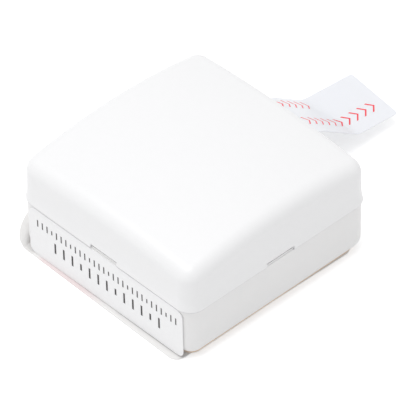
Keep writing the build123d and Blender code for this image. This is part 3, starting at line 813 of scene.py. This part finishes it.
def pads(top):
    """Return the tinned pads under each soldered part and the rings round the vias."""
    bm = bmesh.new()
    for node, growth in PAD_GROWTH.items():
        grown = Vector((*growth, 0)) * MM
        for low, high in solids_of(node):
            low, high = low - grown, high + grown
            slab(bm, Vector((low.x, low.y, top)), Vector((high.x, high.y, top + COPPER_RISE * MM)))
    for x, y in VIA_PLACES:
        ring = bmesh.ops.create_circle(bm, cap_ends=True, segments=16, radius=VIA_RADIUS)["verts"]
        bmesh.ops.translate(bm, vec=Vector((x * MM, y * MM, top + COPPER_RISE * MM)), verts=ring)
        keep_rim(bm, ring[0].link_faces[0], VIA_RING)
    return bm


def copper_lines(top):
    """Return the copper lines under the mask, as flattened tubes along their routes."""
    curve = bpy.data.curves.new("line_routes", "CURVE")
    curve.dimensions = "3D"
    curve.bevel_depth = TRACE_WIDTH / 2 * MM
    curve.bevel_resolution = 1
    curve.use_fill_caps = True
    for route in TRACES:
        spline = curve.splines.new("POLY")
        spline.points.add(len(route) - 1)
        for point, (x, y) in zip(spline.points, route):
            point.co = (x * MM, y * MM, 0, 1)
    routes = bpy.data.objects.new("line_routes", curve)
    bm = bmesh.new()
    bm.from_mesh(bpy.data.meshes.new_from_object(routes))
    bpy.data.objects.remove(routes)
    bmesh.ops.scale(bm, vec=(1, 1, 2 * COPPER_RISE / TRACE_WIDTH), verts=bm.verts)
    bmesh.ops.translate(bm, vec=(0, 0, top), verts=bm.verts)
    return bm


def outlines(top):
    """Return the white outlines printed round the larger parts."""
    bm = bmesh.new()
    for node in OUTLINED:
        low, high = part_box(node)
        made = bmesh.ops.create_grid(bm, x_segments=1, y_segments=1, size=0.5)["verts"]
        size = high - low + Vector((1, 1, 0)) * OUTLINE_GAP * MM
        bmesh.ops.scale(bm, vec=(size.x, size.y, 1), verts=made)
        middle = ((low.x + high.x) / 2, (low.y + high.y) / 2, top + OUTLINE_RISE)
        bmesh.ops.translate(bm, vec=middle, verts=made)
        keep_rim(bm, made[0].link_faces[0], OUTLINE_STROKE)
    bmesh.ops.solidify(bm, geom=bm.faces[:], thickness=INK_THICKNESS)
    return bm


def end_caps():
    """Return the tinned end caps of the chip resistors and capacitors."""
    bm = bmesh.new()
    tin = Vector((CAP_TIN, CAP_TIN, CAP_TIN)) * MM
    reach = Vector((CAP_REACH, 0, 0))
    for node in ("chip_resistors", "chip_capacitors"):
        for low, high in solids_of(node):
            slab(bm, low - tin, Vector((low.x, high.y, high.z)) + reach + tin)
            slab(bm, Vector((high.x, low.y, low.z)) - reach - tin, high + tin)
    return bm


class SENSOR_OT_board(bpy.types.Operator):
    """Lay the board's pads, copper lines and printed outlines, and cap the chips' ends."""

    bl_idname = "sensor.board"
    bl_label = "Detail the board"

    def execute(self, context):
        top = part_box("circuit_board")[1].z
        # Solder levelled in hot air over copper: soft bright metal
        solder = finish("hot_air_levelled_solder", "CBCBCB", "B9B9BA", 0.5, 0.32, Metallic=1.0)
        # Copper under the mask: the same green, raised and lighter
        masked = finish("mask_over_copper", "35895A", "2F7F50", 1.0, 0.33)
        # Epoxy ink, screened: flat white with a slightly ragged cover
        white = finish("white_screened_epoxy", "E6E7E2", "D5D7D0", 0.3, 0.6)
        make_piece("board_pads", pads(top), solder, "circuit_board", smooth=False)
        make_piece("board_lines", copper_lines(top), masked, "circuit_board")
        make_piece("board_outlines", outlines(top), white, "circuit_board", smooth=False)
        make_piece("chip_end_caps", end_caps(), solder, "chip_capacitors", smooth=False)
        return {"FINISHED"}


# Stage

def whitened(tree, lit, seen):
    """Return a shader that shows one surface to the light and another to the eye, mirrors and glass."""
    path = add(tree, "ShaderNodeLightPath").outputs
    share = path["Is Camera Ray"]
    for ray in ("Is Glossy Ray", "Is Transmission Ray"):
        share = add(tree, "ShaderNodeMath", {0: share, 1: path[ray]}, operation="MAXIMUM").outputs[0]
    return add(tree, "ShaderNodeMixShader", {0: share, 1: lit, 2: seen}).outputs[0]


class SENSOR_OT_stage(bpy.types.Operator):
    """Set the floor, the soft light and the camera."""

    bl_idname = "sensor.stage"
    bl_label = "Set the stage"

    def execute(self, context):
        settings = context.scene.sensor_stage
        context.scene.view_settings.view_transform = "Standard"
        self.surround(context.scene, settings)
        self.lay_floor(settings)
        self.hang_light(context.scene, settings)
        self.place_camera(context.scene, settings)
        return {"FINISHED"}

    def surround(self, scene, settings):
        """Wrap the scene in even white."""
        world = bpy.data.worlds.new("white_surroundings")
        world.use_nodes = True
        tree = world.node_tree
        tree.nodes.clear()
        lit = add(tree, "ShaderNodeBackground", {"Strength": settings.ambient, "Color": WHITE}).outputs[0]
        seen = add(tree, "ShaderNodeBackground", {"Strength": 1.0, "Color": WHITE}).outputs[0]
        add(tree, "ShaderNodeOutputWorld", {"Surface": whitened(tree, lit, seen)})
        scene.world = world

    def lay_floor(self, settings):
        """Lay a white table that keeps the sensor's shadow."""
        bm = bmesh.new()
        bmesh.ops.create_grid(bm, x_segments=1, y_segments=1, size=FLOOR_REACH)
        bmesh.ops.translate(bm, vec=(0, 0, -FLOOR_DROP), verts=bm.verts)
        # Uncoated table paper: matt and even, brightened to the eye so that only the sensor's shadow shows
        material, tree, output = empty_material("white_table_paper")
        paper = add(tree, "ShaderNodeBsdfDiffuse", {"Color": linear(settings.floor)}).outputs[0]
        glow = add(tree, "ShaderNodeEmission", {"Color": WHITE, "Strength": FLOOR_GLOW}).outputs[0]
        seen = add(tree, "ShaderNodeAddShader", {0: paper, 1: glow}).outputs[0]
        tree.links.new(whitened(tree, paper, seen), output.inputs["Surface"])
        make_piece("studio_floor", bm, material, None, smooth=False)

    def hang_light(self, scene, settings):
        """Hang one broad soft light over the labelled side."""
        data = bpy.data.lights.new("overhead_softbox", "AREA")
        data.size = LIGHT_SIZE
        data.energy = settings.key
        light = bpy.data.objects.new("overhead_softbox", data)
        light.location = LIGHT_PLACE
        light.rotation_euler = (-light.location).to_track_quat("-Z", "Y").to_euler()
        scene.collection.objects.link(light)

    def place_camera(self, scene, settings):
        """Look at the seam's middle from the photographer's place."""
        a, e = settings.azimuth, settings.elevation
        back = Vector((sin(a) * cos(e), -cos(a) * cos(e), sin(e)))
        right = Vector((cos(a), sin(a), 0))
        spin = Matrix.Rotation(settings.roll, 3, back)
        right, up = spin @ right, spin @ back.cross(right)
        scale = settings.pixels_per_mm / MM
        half = IMAGE_SIDE / 2
        aim = Vector((0, 0, SEAM))
        aim += right * (half - settings.seam_x) / scale
        aim -= up * (half - settings.seam_y) / scale
        data = bpy.data.cameras.new("photo_camera")
        data.sensor_width = FRAME_WIDTH
        data.lens = scale * settings.distance * data.sensor_width / IMAGE_SIDE
        data.clip_end = SIGHT_END
        camera = bpy.data.objects.new("photo_camera", data)
        turned = Matrix((right, up, back)).transposed().to_4x4()
        camera.matrix_world = Matrix.Translation(aim + back * settings.distance) @ turned
        scene.collection.objects.link(camera)
        scene.camera = camera


class SENSOR_PT_panel(bpy.types.Panel):
    """List the sensor's steps in the sidebar."""

    bl_idname = "SENSOR_PT_panel"
    bl_label = "Glass break sensor"
    bl_space_type = "VIEW_3D"
    bl_region_type = "UI"
    bl_category = "Sensor"

    def draw(self, context):
        for step in STEPS:
            self.layout.operator(step.bl_idname)


GROUPS = {
    "sensor_housing": HousingSettings,
    "sensor_label": LabelSettings,
    "sensor_bonding": BondingSettings,
    "sensor_tab": TabSettings,
    "sensor_stage": StageSettings,
}
STEPS = [
    SENSOR_OT_housing,
    SENSOR_OT_label,
    SENSOR_OT_bonding,
    SENSOR_OT_tab,
    SENSOR_OT_inside,
    SENSOR_OT_board,
    SENSOR_OT_stage,
]


def register():
    for cls in [*GROUPS.values(), *STEPS, SENSOR_PT_panel]:
        bpy.utils.register_class(cls)
    for name, group in GROUPS.items():
        setattr(bpy.types.Scene, name, PointerProperty(type=group))


def unregister():
    for name in GROUPS:
        delattr(bpy.types.Scene, name)
    for cls in reversed([*GROUPS.values(), *STEPS, SENSOR_PT_panel]):
        bpy.utils.unregister_class(cls)


def main():
    register()
    for step in STEPS:
        group, name = step.bl_idname.split(".")
        getattr(getattr(bpy.ops, group), name)()


if __name__ == "__main__":
    main()
